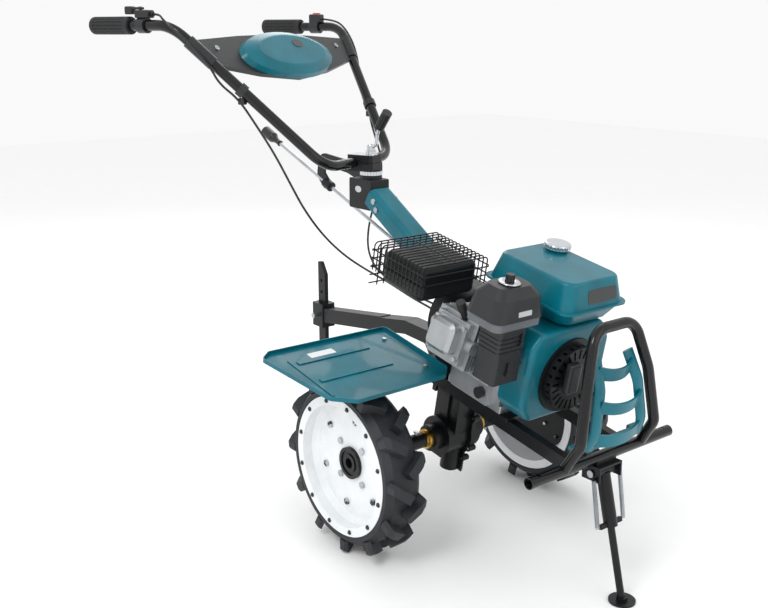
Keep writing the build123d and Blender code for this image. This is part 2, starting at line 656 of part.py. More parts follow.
def make_intake():
    x0, x1 = FILTER_X
    y0, y1 = FILTER_Y
    cx = (x0 + x1) / 2
    cy = (y0 + y1) / 2
    base = extrude(Pos(cx, cy, 448) * RectangleRounded(x1 - x0 - 6, y1 - y0 - 6, 18), 18)
    base = base - extrude(Pos(cx, cy, 453) * RectangleRounded(x1 - x0 - 14, y1 - y0 - 14, 14), 20)
    post = rod((cx, cy, 450), (cx, cy, 541), 3.0)
    add("air_filter_base", chassis(base + post))
    lower = Pos(cx, cy, 466.2) * RectangleRounded(x1 - x0, y1 - y0, 22)
    upper = Pos(cx, cy, 512) * RectangleRounded(x1 - x0 - 14, y1 - y0 - 14, 22)
    crown = Pos(cx, cy, 531) * RectangleRounded(x1 - x0 - 46, y1 - y0 - 50, 20)
    cover = loft([lower, upper]) + loft([upper, crown])
    inner_low = Pos(cx, cy, 465) * RectangleRounded(x1 - x0 - 5, y1 - y0 - 5, 19)
    inner_top = Pos(cx, cy, 510) * RectangleRounded(x1 - x0 - 20, y1 - y0 - 20, 18)
    cover = cover - loft([inner_low, inner_top]) - rod((cx, cy, 460), (cx, cy, 540), 3.3)
    add("air_filter_cover", chassis(cover))
    element = extrude(Pos(cx, cy, 455) * RectangleRounded(x1 - x0 - 32, y1 - y0 - 36, 14), 46)
    element = element - rod((cx, cy, 440), (cx, cy, 520), 12)
    add("air_filter_element", chassis(element))
    knob = rod((cx, cy, 531.0), (cx, cy, 533), 24) + rod((cx, cy, 533), (cx, cy, 550), 8.5)
    knob = knob + [rod((cx + a, cy + b, 534), (cx + a, cy + b, 549), 1.5) for a, b, _ in ring_points(10, 8.5)]
    add("air_filter_knob", chassis(knob - rod((cx, cy, 530), (cx, cy, 543), 3.0 + RUN_FIT)))
    elbow = block(216, 268, -190, -132, 408, 447.5, 8, Axis.Z)
    add("filter_elbow", chassis(elbow))
    body = block(226, 262, -168, -138, 352, 407.5, 4, Axis.Z) + rod((244, -153, 330), (244, -153, 352), 17)
    body = body + rod((226, -160, 380), (208, -172, 373), 14)
    add("carburettor", chassis(body))
    shield = block(236, 300, -212, -136, 322, 446, 8, Axis.Z)
    shield = shield - block(222, 292, -204, -128, 314, 450)
    shield = shield - block(226, 266, -194, -130, 310, 450)
    for z in (396, 406, 416, 426):
        shield = shield - block(236, 301, -213, -210.5, z, z + 4) - block(298.5, 301, -213, -136, z, z + 4)
    add("carburettor_shield", chassis(shield))
    choke = rod((300.3, -150, 410), (305, -150, 410), 6) + block(301, 304, -153, -147, 410, 432, 1.4, Axis.X)
    valve = rod((300.3, -176, 345), (305, -176, 345), 6) + block(301, 304, -179, -173, 345, 370, 1.4, Axis.X)
    add("choke_lever", chassis(choke))
    add("fuel_valve_lever", chassis(valve))


def make_muffler():
    shell = block(-84, 56, -218, -56, 410, 488, 14)
    seams = block(-87, 59, -221, -53, 446, 450, 12, Axis.Z)
    add("muffler", chassis(shell + seams))
    x0, x1 = GUARD_X
    y0, y1 = GUARD_Y
    z0, z1 = GUARD_Z
    wires = []
    count = 14
    for k in range(count):
        x = x0 + (x1 - x0) * k / (count - 1)
        wires.append(bent([(x, y0, z0 + 40), (x, y0, z1), (x, y1, z1), (x, y1, z0 + 40)], [10, 10],
                          Circle(WIRE_R)))
    for k in range(5):
        z = z0 + 8 + 20 * k
        if k >= 2:
            wires.append(rod((x0 - 6, y0, z), (x1 + 6, y0, z), WIRE_R))
            wires.append(rod((x0 - 6, y1, z), (x1 + 6, y1, z), WIRE_R))
        wires.append(rod((x0, y0 - 6, z), (x0, y1 + 6, z), WIRE_R))
    for k in range(9):
        y = y0 + 18 + (y1 - y0 - 36) * k / 8
        wires.append(rod((x0, y, z0), (x0, y, z1), WIRE_R))
    for z in (z0 + 62, z0 + 82):
        wires.append(rod((x1, y0 - 6, z), (x1, y1 + 6, z), WIRE_R))
    wires.append(rod((x0 - 6, (y0 + y1) / 2, z1), (x1 + 6, (y0 + y1) / 2, z1), WIRE_R))
    mount = block(-12, 12, -54, -42, 440, 443)
    frame = Part() + wires
    add("muffler_guard", chassis(frame + mount))


def make_starter():
    shroud = extrude(Plane.YZ * Pos(0, 0, 240) * make_face(Polyline(
        [(-124, 250), (-96, 214), (96, 214), (122, 250), (122, 380), (92, 424), (-96, 424), (-124, 392)],
        close=True)), 76)
    shroud = fillet(shroud.edges().filter_by(Axis.X), 22)
    shroud = fillet(shroud.faces().sort_by(Axis.X)[-1].edges(), 12)
    shroud = shroud - round_x(90, 238, 306) - round_x(87, 300, 330)
    shroud = shroud - block(238, 244, -100, 100, 232, 400)
    add("fan_shroud", chassis(shroud))
    dish = round_x(86.5, 309, 320) - round_x(80, 308, 316)
    crown = round_x(74, 320, 340) - round_x(70, 318, 336)
    housing = dish - round_x(70, 300, 330) + crown
    slots = []
    for y, z, angle in ring_points(24, 60):
        slots.append(Pos(338, y, CRANK_Z + z) * Rot(-math.degrees(angle), 0, 0) * Box(8, 5, 22))
    for y, z, angle in ring_points(24, 74):
        slots.append(Pos(330, y, CRANK_Z + z) * Rot(-math.degrees(angle), 0, 0) * Box(10, 6, 12))
    boss = round_x(9, 318, 337)
    add("recoil_housing", chassis(housing + boss - (Part() + slots) - round_x(12.6, 300, 331)))
    spool = round_x(52, 299, 303) + round_x(42, 303, 310) + round_x(52, 310, 314) + round_x(24, 314, 317)
    spool = spool - round_x(12.5 + RUN_FIT, 290, 320)
    add("recoil_spool", chassis(spool))
    handle = block(343, 364, -46, -12, 292, 362, 7)
    add("recoil_handle", chassis(handle))


# ---------------------------------------------------------------- neck and steering head
NECK_REAR = (-395.0, 495.0)
NECK_FRONT = (-49.0, 362.0)
NECK_WIDTH = 70.0
NECK_DEPTH = 45.0
NECK_WALL = 3.0


def neck_frame(shape):
    """From a frame with +X running down the neck from its rear end, to the chassis frame."""
    drop = math.degrees(math.atan2(NECK_REAR[1] - NECK_FRONT[1], NECK_FRONT[0] - NECK_REAR[0]))
    return Pos(NECK_REAR[0], 0, NECK_REAR[1]) * Rot(0, drop, 0) * shape


def neck_bar(length, shrink, drop):
    half = NECK_WIDTH / 2 - shrink
    top = NECK_DEPTH / 2 - shrink
    shape = block(0, length, -half, half, -NECK_DEPTH / 2 - drop, top)
    upper = [e for e in shape.edges().filter_by(Axis.X) if e.center().Z > 0]
    return fillet(upper, 16 - shrink)


def make_neck():
    long = 420.0
    outer = neck_frame(neck_bar(long, 0.0, 0.0))
    inner = neck_frame(Pos(-5, 0, 0) * neck_bar(long + 10, NECK_WALL, 5.0))
    limit = block(-600, NECK_FRONT[0], -100, 100, 0, 800)
    channel = (outer - inner) & limit
    plate = block(NECK_FRONT[0], -45, -53, 53, 312, 392, 6, Axis.X)
    holes = [round_x(4.3, -60, -40, y, z) for y in (-44, 44) for z in (322, 378)]
    plate = plate - holes
    side_holes = [round_y(4.3, -50, 50, x, z) for x, z in neck_bolt_places()]
    add("neck", chassis((channel + plate) - side_holes))
    rear = [bolt((-49, y, z), (-1, 0, 0), 13.0, 5.5, 4.0, 4.0) for y in (-44, 44) for z in (322, 378)]
    screws = []
    for x, z in neck_bolt_places():
        for side in (-1, 1):
            screws.append(bolt((x, side * NECK_WIDTH / 2, z), (0, side, 0), 14.0, 4.0, 4.0, 14.0))
    add("neck_bolts", chassis(group(rear + screws)))
    solid_neck = chassis(outer)
    tongue = chassis(neck_frame(neck_bar(76, NECK_WALL + 0.2, -NECK_WALL)))
    base = block(-384, -292, -30, 30, 734, 812, 5, Axis.Y)
    base = (base - solid_neck) + tongue
    base = base - chassis(group(side_holes))
    base = base - rod((HEAD_X, 0, 770), (HEAD_X, 0, 830), 8.0 + RUN_FIT)
    base = base + (rod((HEAD_X, 0, 812), (HEAD_X, 0, 822), 29) - rod((HEAD_X, 0, 811), (HEAD_X, 0, 823),
                                                                     8 + RUN_FIT))
    add("head_base", base)


def neck_bolt_places():
    return [(-366.0, 490.0), (-352.0, 472.0)]


def jaw(z0, z1):
    shape = block(-58, 18, -27, 27, z0, z1, 7, Axis.Z)
    shape = shape - round_y(TUBE_R + RUN_FIT, -30, 30, BAR_LOW[0], BAR_LOW[2])
    return shape - rod((0, 0, 780), (0, 0, 900), 7.9) - rod((-54, 0, 780), (-54, 0, 900), 0.1)


def make_head():
    mid = BAR_LOW[2]
    disc = rod((0, 0, 822.3), (0, 0, 832), 29)
    for k in range(24):
        a = math.radians(15 * k)
        disc = disc - Pos(29 * math.cos(a), 29 * math.sin(a), 824) * Cylinder(1.6, 30)
    lower = jaw(832, mid - 0.5) + (disc - rod((0, 0, 780), (0, 0, 900), 7.9))
    add("clamp_jaw_lower", bar(lower))
    add("clamp_jaw_upper", bar(jaw(mid + 0.5, 874)))
    spindle = rod((0, 0, 776), (0, 0, 884), 8.0)
    lower_nut = rod((0, 0, 874), (0, 0, 884), 14)
    jaws_hole = rod((0, 0, 780), (0, 0, 900), 8.1)
    for name in ("clamp_jaw_lower", "clamp_jaw_upper"):
        NODES[name] = NODES[name] - bar(jaws_hole)
    add("clamp_spindle", bar(spindle + lower_nut))
    nut = rod((0, 0, 884.3), (0, 0, 900), 11) - rod((0, 0, 884), (0, 0, 890), 3)
    cap = fillet(nut.faces().sort_by(Axis.Z)[-1].edges(), 4)
    arm = bent([(4, 0, 892), (22, 0, 900), (26, 0, 925), (35, 0, 945)], [10, 16], Circle(4.5))
    tilt = Plane(origin=(35, 0, 945), z_dir=(0.64, 0, 0.77))
    grip = tilt * (Pos(0, 0, 26) * Cylinder(13, 52) - Pos(0, 0, 5) * Cylinder(4.5, 12))
    stem = tilt * (Pos(0, 0, 5) * Cylinder(4.5, 12))
    for k in range(12):
        a = math.radians(30 * k)
        grip = grip - tilt * (Pos(13 * math.cos(a), 13 * math.sin(a), 26) * Cylinder(1.4, 44))
    add("clamp_lever", lever_turn(cap + arm + stem))
    add("clamp_lever_grip", lever_turn(grip - arm))


def lever_turn(shape):
    """The clamp lever points straight ahead although the handlebar is swivelled."""
    return Pos(HEAD_X, 0, 0) * shape


# ---------------------------------------------------------------- handlebar
def on_tube(distance, side):
    """Point and direction on the straight end of the tube, measured from its rear end."""
    a = Vector(BAR_END[0], side * BAR_END[1], BAR_END[2])
    b = Vector(BAR_TOP[0], side * BAR_TOP[1], BAR_TOP[2])
    way = (b - a).normalized()
    return a + way * distance, way


def on_arm(distance, side):
    """Point and direction on the sloping arm, measured down from its top corner."""
    a = Vector(BAR_TOP[0], side * BAR_TOP[1], BAR_TOP[2])
    b = Vector(BAR_LOW[0], side * BAR_LOW[1], BAR_LOW[2])
    way = (b - a).normalized()
    return a + way * distance, way


def ring_on(point, way, r_out, length, r_in=TUBE_R):
    plane = Plane(origin=point, z_dir=way)
    return plane * (Pos(0, 0, length / 2) * (Cylinder(r_out, length) - Cylinder(r_in, length + 1)))


def panel_frame(shape):
    """From panel axes (down the arms, left, outwards) to the handlebar frame."""
    return Plane(origin=(BAR_TOP[0], 0, BAR_TOP[2]), x_dir=(0.654, 0, -0.756), z_dir=(0.756, 0,
                                                                                      0.654)) * shape


def make_handlebar():
    x0, y0, z0 = BAR_END
    x1, y1, z1 = BAR_TOP
    x2, y2, z2 = BAR_LOW
    route = [(x0, -y0, z0), (x1, -y1, z1), (x2, -y2, z2), (x2, y2, z2), (x1, y1, z1), (x0, y0, z0)]
    radii = [80, 80, 80, 80]
    tube = bent(route, radii, Circle(TUBE_R)) - bent(route, radii, Circle(TUBE_R - TUBE_WALL))
    add("handlebar", bar(tube))
    for side, name in ((-1, "right"), (1, "left")):
        start, way = on_tube(-4.0, side)
        plane = Plane(origin=start, z_dir=way)
        grip = Pos(0, 0, GRIP_LEN / 2 + 2) * Cylinder(GRIP_R, GRIP_LEN + 4)
        grip = fillet(grip.edges(), 4)
        for k in range(16):
            a = math.radians(22.5 * k)
            grip = grip - Pos(GRIP_R * math.cos(a), GRIP_R * math.sin(a),
                              GRIP_LEN / 2 + 2) * Cylinder(1.6, GRIP_LEN - 24)
        grip = grip - Pos(0, 0, 4 + GRIP_LEN / 2 + 5) * Cylinder(TUBE_R, GRIP_LEN + 10)
        add(f"grip_{name}", bar(plane * grip))
    make_panel()
    make_controls()


def make_panel():
    outline = Polyline([(48, -322), (126, -290), (158, -150), (176, 0), (158, 150), (126, 290), (48, 322),
                        (36, 150), (32, 0), (36, -150)], close=True)
    base = extrude(make_face(outline), 12)
    base = Pos(0, 0, -8) * fillet(base.edges().filter_by(Axis.Z), 8)
    base = panel_frame(base)
    for side in (-1, 1):
        point, way = on_arm(52, side)
        base = base + ring_on(point, way, 16.5, 78)
        point, way = on_arm(20, side)
        base = base - Plane(origin=point, z_dir=way) * (Pos(0, 0, 80) * Cylinder(TUBE_R, 200))
    add("panel_base", bar(base))
    rings = [Pos(106, 0, z) * Ellipse(a, b) for z, a, b in ((4.0, 74, 192), (18, 70, 184), (32, 50, 140))]
    dome = loft(rings[:2]) + loft(rings[1:])
    dome = fillet(dome.faces().sort_by(Axis.Z)[-1].edges(), 10)
    inner = loft([Pos(106, 0, z) * Ellipse(a, b) for z, a, b in ((3.0, 70, 188), (16, 66, 180))])
    add("panel_cover", bar(panel_frame(dome - inner)))
    screws = []
    for side in (-1, 1):
        screws.append(panel_frame(Pos(74, side * 262, 5.5) * Cylinder(7, 3) - Pos(74, side * 262,
                                                                                  7) * Cylinder(3, 2)))
    add("panel_screws", bar(group(screws)))


def make_controls():
    point, way = on_tube(158, -1)
    x, y, z = point.X, point.Y, point.Z
    clamp = ring_on(point, way, 18.5, 26)
    body = block(x - 6, x + 38, y - 13, y + 13, z + 17, z + 36, 4)
    cable_nose = rod((x + 38, y, z + 26), (x + 46, y, z + 26), 5.5)
    body = body + cable_nose - rod((x + 4, y, z + 30), (x + 4, y, z + 44), 4.0 + RUN_FIT)
    add("throttle_body", bar(clamp + body))
    lever = rod((x + 4, y, z + 31), (x + 4, y, z + 44), 4.0) + block(x - 34, x + 12, y - 6, y + 6,
                                                                     z + 37, z + 43, 2)
    lever = lever + block(x - 42, x - 18, y - 9, y + 9, z + 26, z + 45, 4)
    add("throttle_lever", bar(lever))
    point, way = on_tube(166, 1)
    x, y, z = point.X, point.Y, point.Z
    box = ring_on(point, way, 19.5, 30) + block(x - 2, x + 36, y - 15, y + 15, z + 10, z + 36, 5)
    box = box - rod((x, y, z), (x + 60, y, z), TUBE_R)
    box = box - ring_on(point - way * 20, way, TUBE_R, 80, 0.01)
    box = box - block(x + 8, x + 28, y - 8, y + 8, z + 24, z + 40)
    add("stop_switch", bar(box))
    rocker = block(x + 8.6, x + 27.4, y - 7.4, y + 7.4, z + 28.4, z + 39.5, 2)
    add("stop_button", bar(rocker))
    clips = []
    for side, places in ((-1, (212,)), (1, (300,))):
        for distance in places:
            p, w = on_arm(distance, side)
            clips.append(ring_on(p, w, 17.0, 18))
            below = p + w * 9
            clips.append(block(below.X - 9, below.X + 9, below.Y - 8, below.Y + 8, below.Z - 34,
                               below.Z - 18, 3)
                         - ring_on(p - w * 60, w, TUBE_R, 160, 0.01))
    right_clip = clips[0] + clips[1]
    left_clip = clips[2] + clips[3]
    add("cable_clips", bar(group([right_clip, left_clip])))


# ---------------------------------------------------------------- gear shift rod
def rod_point(x):
    (xr, zr), (xf, zf) = ROD_REAR, ROD_FRONT
    return (x, ROD_Y, zr + (zf - zr) * (x - xr) / (xf - xr))


def make_shift():
    shaft = rod(rod_point(-935), rod_point(ROD_FRONT[0] - 20), ROD_R)
    add("shift_rod", chassis(shaft))
    way = Vector(*rod_point(-1000)) - Vector(*rod_point(-900))
    plane = Plane(origin=rod_point(-915), z_dir=way.normalized())
    handle = loft([plane * Circle(9), plane * Pos(0, 0, 22) * Circle(9), plane * Pos(0, 0,
                                                                                     40) * Circle(15.5)])
    handle = handle + loft([plane * Pos(0, 0, 40) * Circle(15.5), plane * Pos(0, 0, 84) * Circle(16.5)])
    handle = handle - plane * (Pos(0, 0, 9) * Cylinder(ROD_R, 24))
    add("shift_knob", chassis(handle))
    p = chassis_point(*rod_point(-655))
    strap = bent([(-384.1, p[1] - 6, 806), (-470, p[1], 826), (-590, p[1], 836), (p[0] - 30, p[1], 812),
                  (p[0] - 34, p[1], 792), (p[0] - 6, p[1], p[2])], [14, 16, 8, 8], Rectangle(34, 6))
    eye = chassis(rod(rod_point(-670), rod_point(-640), 14.0))
    passage = chassis(rod(rod_point(-760), rod_point(-560), ROD_R + RUN_FIT))
    add("shift_guide", strap + eye - passage)


# ---------------------------------------------------------------- front stand
def make_stand():
    px, _, pz = STAND_PIVOT
    bar_c = chassis_point(BAR_X, 0, BAR_Z)
    bracket = block(px - 26, px + 22, -36, 36, pz + 13.5, pz + 18) + block(px - 26, px + 22, -36, -32,
                                                                           pz - 16, pz + 18)
    bracket = bracket + block(px - 26, px + 22, 32, 36, pz - 16, pz + 18)
    saddle = block(px - 16, px + 10, -30, 30, pz + 16, bar_c[2])
    bracket = bracket + saddle - chassis(round_y(BAR_R, -60, 60, BAR_X, BAR_Z))
    bracket = bracket - round_y(5.0, -40, 40, px, pz)
    add("stand_bracket", bracket)
    pin = round_y(5.0, -38, 38, px, pz) + round_y(8.0, -41, -38, px, pz) + round_y(8.0, 38, 41, px, pz)
    add("stand_pivot_pin", pin)
    foot = (FOOT_X, 0, 0)
    way = (Vector(*foot) - Vector(*STAND_PIVOT)).normalized()
    knee = Vector(*STAND_PIVOT) + way * 6
    end = Vector(*foot) - way * 8
    sleeve = rod(tuple(knee), tuple(knee + way * 118), 15.0)
    eye = round_y(13.0, -26, 26, px, pz) - round_y(5.0 + RUN_FIT, -30, 30, px, pz)
    leg_rod = rod(tuple(knee + way * 20), tuple(end), 8.0)
    ears = block(-4, 4, -34, 34, -5, 5)
    ears = Plane(origin=knee + way * 112, z_dir=way) * ears
    leg = sleeve + leg_rod + ears - round_y(5.0 + RUN_FIT, -30, 30, px, pz)
    add("stand_leg", leg + eye)
    pad = rod((FOOT_X, 0, 0), (FOOT_X, 0, 5), FOOT_R) + rod((FOOT_X, 0, 5), (FOOT_X, 0, 12), 12)
    pad = pad - rod(tuple(knee), tuple(end), 8.0)
    add("stand_foot", pad)
    springs = []
    low = knee + way * 112
    for side in (-1, 1):
        top = Vector(px + 12, side * 42, pz - 8)
        bottom = Vector(low.X, side * 42, low.Z)
        springs.append(rod(tuple(top), tuple(bottom), 5.5))
    add("stand_springs", group(springs))
    NODES["stand_bracket"] = NODES["stand_bracket"] + rod((px + 12, -46, pz - 8), (px + 12, -36, pz - 8),
                                                          3) + \
        rod((px + 12, 36, pz - 8), (px + 12, 46, pz - 8), 3)
    NODES["stand_springs"] = NODES["stand_springs"] - rod((px + 12, -50, pz - 8), (px + 12, 50, pz - 8), 3.1)


# ---------------------------------------------------------------- hitch and depth bar
def make_hitch():
    plate = block(-60, -36, -30, 30, 96, 187)
    arm = bent([(-50, 0, 150), (-110, 0, 215), (-200, 0, 205), (-300, 0, 170)], [30, 40], Rectangle(36, 46))
    hitch = (plate + arm) - gearcase_outer(11.0) - block(-62, -30, -105, 105, 189, 199)
    for z in (60, 130):
        hitch = hitch - round_y(9.5, -20, 60, -49, z)
    hitch = chassis(hitch)
    add("hitch_bracket", hitch)
    x1 = chassis_point(-300, 0, 170)
    jaw_l = Vector(*x1)
    rear = Vector(DEPTH_X + 26, 0, 398)
    way = (rear - jaw_l).normalized()
    beam = Plane(origin=jaw_l, z_dir=way) * extrude(Rectangle(40, 36), (rear - jaw_l).length)
    add("drawbar", beam - hitch - block(DEPTH_X - 60, DEPTH_X + 26, -40, 40, 340, 450))
    socket = block(DEPTH_X - 26, DEPTH_X + 26, -22, 22, 362, 430, 4, Axis.Z)
    socket = socket - block(DEPTH_X - 16.1, DEPTH_X + 16.1, -6.1, 6.1, 350, 440)
    socket = socket - round_y(5.0, -30, 30, DEPTH_X, 396)
    add("depth_socket", socket)
    outline = Polyline([(-16, DEPTH_LOW), (16, DEPTH_LOW), (16, DEPTH_TOP - 34), (-4, DEPTH_TOP), (-16,
                                                                                                   DEPTH_TOP)],
                       close=True)
    blade = extrude(make_face(outline), 12)
    blade = Pos(DEPTH_X, 6, 0) * Rot(90, 0, 0) * blade
    for k in range(5):
        blade = blade - round_y(4.6, -10, 10, DEPTH_X, 396 - 66 + 33 * k + 33)
    add("depth_bar", blade)
    pin = round_y(4.5, -34, 34, DEPTH_X, 396) + round_y(8.0, -38, -34, DEPTH_X, 396)
    add("depth_pin", pin)


# ---------------------------------------------------------------- control cables


def make_cables():
    bosses = []
    for y in (THROTTLE_BOSS_Y, STOP_BOSS_Y):
        boss = round_x(6.5, BOSS_X, -45, y, BOSS_Z) - round_x(CABLE_R + 0.3, BOSS_X - 1, BOSS_X + 10, y,
                                                              BOSS_Z)
        bosses.append(chassis(boss))
    add("cable_bosses", group(bosses))
    add("throttle_cable", cable(THROTTLE_ROUTE, CABLE_R))
    add("stop_cable", cable(STOP_ROUTE, CABLE_R))
    for route, holders in ((THROTTLE_ROUTE, ("throttle_body", "cable_clips")), (STOP_ROUTE,
                                                                                ("stop_switch",
                                                                                 "cable_clips"))):
        passage = cable(route, CABLE_R + 0.3)
        for name in holders:
            NODES[name] = group([solid - passage for solid in NODES[name].solids()])


make_wheels()
make_gearcase()
make_driveline()
make_frame()
make_fenders()
make_crankcase()
make_crank()
make_cylinder()
make_tank()
make_intake()
make_muffler()
make_starter()
make_neck()
make_head()
make_handlebar()
make_shift()
make_stand()
make_hitch()
make_cables()

# ---------------------------------------------------------------- nodes that share a file
SHARED = {
    "bearings": ["axle_bearings", "shaft_bearings", "input_bearing", "crank_bearings"],
    "axle_gear_and_collars": ["axle_collars", "bearing_sleeves", "crown_gear"],
    "wheel_fasteners": ["wheel_bolts", "rim_studs", "hub_pins"],
    "fenders": ["fender_left", "fender_right"],
    "chassis_bolts": ["gearcase_bolts", "drain_plug", "housing_bolts", "engine_bolts", "neck_bolts",
                      "fender_bolts",
                      "ladder_screws", "valve_cover_bolts", "stand_pivot_pin"],
    "chassis_frame": ["frame_rails", "engine_bed", "fender_brackets"],
    "grips": ["grip_left", "grip_right"],
    "front_stand": ["stand_leg", "stand_foot"],
    "engine_block": ["crankcase", "cylinder_barrel", "piston"],
    "drawbar_and_socket": ["drawbar", "hitch_bracket", "depth_socket"],
    "steering_head": ["head_base", "shift_guide"],
    "bar_clamp": ["clamp_jaw_lower", "clamp_jaw_upper", "clamp_spindle"],
    "clamp_handle": ["clamp_lever", "clamp_lever_grip"],
    "control_housings": ["throttle_body", "stop_switch", "cable_clips", "panel_screws"],
    "handlebar_panel": ["panel_base", "panel_cover"],
    "recoil_starter": ["recoil_housing", "recoil_spool"],
    "clutch_case": ["clutch_housing", "cable_bosses"],
    "crankshaft_and_clutch": ["crankshaft", "clutch_basket"],
    "flywheel": ["flywheel_fan", "starter_cup"],
    "air_filter_housing": ["air_filter_base", "air_filter_element", "filter_elbow"],
    "cylinder_top": ["cylinder_head", "valve_cover", "carburettor"],
    "ignition_plug": ["spark_plug", "plug_boot"],
}
for node, pieces in SHARED.items():
    NODES[node] = group([NODES.pop(piece) for piece in pieces])

# ---------------------------------------------------------------- origin at the bottom centre
whole = Compound(children=[solid for shape in NODES.values() for solid in shape.solids()]).bounding_box()
SHIFT_X = -(whole.min.X + whole.max.X) / 2
SHIFT_Y = -(whole.min.Y + whole.max.Y) / 2
SHIFT_Z = -whole.min.Z
print("shift", round(SHIFT_X, 3), round(SHIFT_Y, 3), round(SHIFT_Z, 3), "size", whole.size, "nodes",
      len(NODES))

os.makedirs("parts", exist_ok=True)
for name, shape in NODES.items():
    export_step(Pos(SHIFT_X, SHIFT_Y, SHIFT_Z) * shape, f"parts/{name}.step")
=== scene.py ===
# %% [markdown]
# # Walk-behind cultivator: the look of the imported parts
#
# The frame holds every rigid part at its real place and size. This script gives each part its finish,
# models the two control cables and the small trim, and sets the floor, the lights and the camera.

# %% Load the frame
import math

import bpy
from mathutils import Matrix, Vector
from mathutils.bvhtree import BVHTree


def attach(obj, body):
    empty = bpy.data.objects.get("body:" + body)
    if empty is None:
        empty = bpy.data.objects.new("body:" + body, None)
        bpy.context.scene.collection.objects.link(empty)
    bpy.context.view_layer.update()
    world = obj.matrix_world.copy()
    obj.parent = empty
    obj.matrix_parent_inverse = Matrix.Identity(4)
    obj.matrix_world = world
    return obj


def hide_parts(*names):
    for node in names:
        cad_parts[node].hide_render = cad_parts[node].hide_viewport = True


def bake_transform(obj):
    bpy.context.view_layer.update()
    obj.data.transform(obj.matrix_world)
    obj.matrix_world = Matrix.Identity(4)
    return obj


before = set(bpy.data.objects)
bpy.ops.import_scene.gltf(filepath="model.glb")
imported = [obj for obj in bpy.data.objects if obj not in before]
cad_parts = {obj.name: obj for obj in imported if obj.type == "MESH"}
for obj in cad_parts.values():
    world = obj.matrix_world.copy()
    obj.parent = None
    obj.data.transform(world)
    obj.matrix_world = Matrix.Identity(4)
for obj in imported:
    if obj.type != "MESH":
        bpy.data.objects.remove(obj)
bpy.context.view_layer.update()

# %% Driving values
SHIFT = Vector((0.219231, 0.041868, 0.0))
PITCH = math.radians(10.3)
SWIVEL = math.radians(20.9)
AXLE_HEIGHT = 0.214
HEAD_X = -0.329
MM = 0.001


def machine(x, y, z):
    """A point given in millimetres from the ground under the axle."""
    return Vector((x, y, z)) * MM + SHIFT


CHASSIS_FRAME = Matrix.Translation(SHIFT + Vector((0, 0, AXLE_HEIGHT))) @ Matrix.Rotation(PITCH, 4, "Y")
HANDLEBAR_FRAME = Matrix.Translation(SHIFT + Vector((HEAD_X, 0, 0))) @ Matrix.Rotation(SWIVEL, 4, "Z")

# %% [markdown]
# ## Materials
#
# A finish is one base colour that drifts a little over the surface, a roughness that varies in a fine
# grain, and a bump of the same grain. A painted image could do this too, but noise needs no unwrapping.
# All three read Object coordinates, so a scale in waves per metre is a real size on the part.


# %% Colour and node helpers
def colour(code):
    """An sRGB hex code as a linear colour."""
    channels = [int(code[i : i + 2], 16) / 255 for i in (0, 2, 4)]
    linear = [c / 12.92 if c <= 0.04045 else ((c + 0.055) / 1.055) ** 2.4 for c in channels]
    return (*linear, 1.0)


def add_node(tree, kind, **values):
    """Adds a node and sets its inputs: a socket is linked, anything else is a value."""
    node = tree.nodes.new(kind)
    for name, value in values.items():
        socket = node.inputs.get(name.replace("_", " "))
        if socket is None:
            setattr(node, name, value)
        elif isinstance(value, bpy.types.NodeSocket):
            tree.links.new(value, socket)
        else:
            socket.default_value = value
    return node


def ramp(tree, factor, low, high, dark, light):
    """A colour ramp between two stops."""
    node = add_node(tree, "ShaderNodeValToRGB", Fac=factor)
    node.color_ramp.elements[0].position = low
    node.color_ramp.elements[1].position = high
    node.color_ramp.elements[0].color = dark
    node.color_ramp.elements[1].color = light
    return node.outputs["Color"]


COAT_ROUGHNESS = 0.06
BUMP_DEPTH = 0.0006
DRIFT_WAVES = 9.0
MIDDLE_NOISE = (0.3, 0.7)


def finish(name, dark, light, rough, metallic=0.0, coat=0.0, grain=900.0, bump=0.05):
    """One surface finish. rough is (lowest, highest) and grain is in waves per metre."""
    material = bpy.data.materials.new(name)
    material.use_nodes = True
    tree = material.node_tree
    shader = tree.nodes["Principled BSDF"]
    place = add_node(tree, "ShaderNodeTexCoord").outputs["Object"]
    broad = add_node(tree, "ShaderNodeTexNoise", Vector=place, Scale=DRIFT_WAVES, Detail=5.0, Roughness=0.6)
    fine = add_node(tree, "ShaderNodeTexNoise", Vector=place, Scale=grain, Detail=3.0, Roughness=0.55)
    tint = ramp(tree, broad.outputs["Fac"], *MIDDLE_NOISE, colour(dark), colour(light))
    tree.links.new(tint, shader.inputs["Base Color"])
    spread = add_node(tree, "ShaderNodeMapRange", Value=fine.outputs["Fac"])
    spread.inputs["From Min"].default_value = MIDDLE_NOISE[0]
    spread.inputs["From Max"].default_value = MIDDLE_NOISE[1]
    spread.inputs["To Min"].default_value = rough[0]
    spread.inputs["To Max"].default_value = rough[1]
    tree.links.new(spread.outputs["Result"], shader.inputs["Roughness"])
    shader.inputs["Metallic"].default_value = metallic
    shader.inputs["Coat Weight"].default_value = coat
    shader.inputs["Coat Roughness"].default_value = COAT_ROUGHNESS
    if bump:
        height = add_node(tree, "ShaderNodeBump", Height=fine.outputs["Fac"], Strength=bump,
                          Distance=BUMP_DEPTH)
        tree.links.new(height.outputs["Normal"], shader.inputs["Normal"])
    return material


# %% The finishes
# Gloss enamel on pressed steel: a deep even colour with a soft highlight.
teal_paint = finish("teal_gloss_paint", "005a68", "006d7d", (0.3, 0.4), coat=0.2, bump=0.04, grain=350.0)
# Powder coat on bent tube: smooth and shiny, with a faint orange peel.
black_tube = finish("black_gloss_powder_coat", "08090a", "121315", (0.18, 0.3), coat=0.3, bump=0.06)
# Satin paint on castings and plate: hides the shape a little, with broad highlights.
black_paint = finish("black_satin_paint", "0b0c0e", "16181a", (0.34, 0.5), coat=0.1, bump=0.1)
